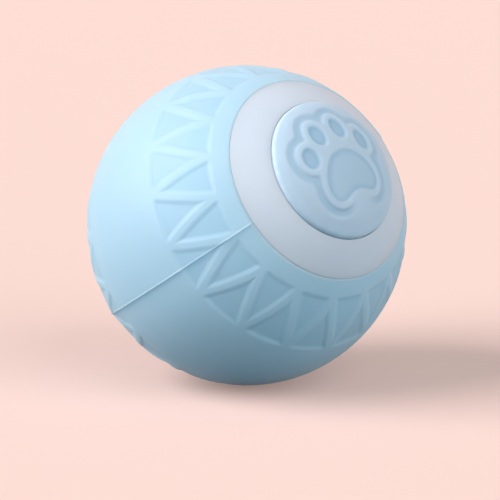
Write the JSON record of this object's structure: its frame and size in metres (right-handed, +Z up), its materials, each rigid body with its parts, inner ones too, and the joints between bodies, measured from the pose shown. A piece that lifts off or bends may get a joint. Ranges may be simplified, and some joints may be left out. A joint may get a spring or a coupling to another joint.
{
  "type": "self rolling cat ball",
  "caption": "Motorised cat toy ball with a zigzag silicone sleeve, clear side domes, a paw print button, a port plug and a weighted inner drive core.",
  "frame": {"origin": "centre of the ball", "axes": "+Z up; the ball's axle runs through the paw button's centre, level with X = 0, and points to -Y and up at 29.2 degrees, as the picture shows it"},
  "size_m": [0.043, 0.045, 0.0428],
  "materials": {
    "sleeve": "soft matte silicone, light blue",
    "clear_shell": "milky translucent plastic",
    "paw_disc": "satin silicone, light blue",
    "white_plastic": "moulded",
    "gear_plastic": "moulded acetal",
    "case_plastic": "moulded",
    "steel": "plain",
    "ballast_iron": "plated",
    "cell_foil": "foil pouch",
    "board": "solder mask",
    "black_plastic": "moulded",
    "led_lens": "clear lens",
    "wire_red": "insulation",
    "wire_black": "insulation"
  },
  "bodies": {
    "housing": {"silicone_sleeve": "sleeve", "shell_front": "clear_shell", "shell_rear": "clear_shell", "ring_gear": "gear_plastic"},
    "button": {"paw_button": "paw_disc", "button_carrier": "white_plastic"},
    "plug": {"port_plug": "paw_disc"},
    "core": {"core_case_front": "case_plastic", "core_case_rear": "case_plastic", "gear_frame": "white_plastic", "case_screw_1": "steel", "case_screw_2": "steel", "case_screw_3": "steel", "motor_can": "steel", "motor_end_cap": "white_plastic", "first_gear_pin": "steel", "second_gear_pin": "steel", "battery_cell": "cell_foil", "circuit_board": "board", "usb_c_socket": "steel", "tact_switch": "black_plastic", "led_front": "led_lens", "led_rear": "led_lens", "controller_chip": "black_plastic", "charge_chip": "black_plastic", "motion_sensor": "steel", "ballast_weight": "ballast_iron", "battery_wire_plus": "wire_red", "battery_wire_minus": "wire_black", "motor_wire_plus": "wire_red", "motor_wire_minus": "wire_black"},
    "motor_rotor": {"motor_shaft": "steel", "motor_pinion": "gear_plastic"},
    "first_gear_body": {"first_gear": "gear_plastic"},
    "second_gear_body": {"second_gear": "gear_plastic"},
    "plunger": {"switch_plunger": "white_plastic"}
  },
  "joints": [
    {"name": "core_swing", "type": "hinge", "parent": "housing", "child": "core", "pos_m": [0, 0, 0], "axis": [0, -0.8729, 0.4879], "continuous": true},
    {"name": "motor_turn", "type": "hinge", "parent": "core", "child": "motor_rotor", "pos_m": [-0.0029, -0.00289, -0.00518], "axis": [0, -0.8729, 0.4879], "continuous": true},
    {"name": "first_gear_turn", "type": "hinge", "parent": "core", "child": "first_gear_body", "pos_m": [0.00392, -0.00212, -0.0038], "axis": [0, -0.8729, 0.4879], "continuous": true},
    {"name": "second_gear_turn", "type": "hinge", "parent": "core", "child": "second_gear_body", "pos_m": [0.0106, -0.00275, -0.00492], "axis": [0, -0.8729, 0.4879], "continuous": true},
    {"name": "button_press", "type": "slide", "parent": "housing", "child": "button", "axis": [0, 0.8729, -0.4879], "range_m": [0, 0.0005], "stiffness_N_per_m": 1500, "springref_m": -0.0002},
    {"name": "plunger_press", "type": "slide", "parent": "core", "child": "plunger", "axis": [0, 0.8729, -0.4879], "range_m": [0, 0.00025]},
    {"name": "plug_pull", "type": "slide", "parent": "housing", "child": "plug", "axis": [0, 0.8729, -0.4879], "range_m": [0, 0.01]}
  ],
  "couplings": [
    {"joint": "second_gear_turn", "follows": "core_swing", "ratio": -5},
    {"joint": "first_gear_turn", "follows": "core_swing", "ratio": 12},
    {"joint": "motor_turn", "follows": "core_swing", "ratio": -34.667},
    {"joint": "plunger_press", "follows": "button_press", "ratio": 0.5}
  ]
}
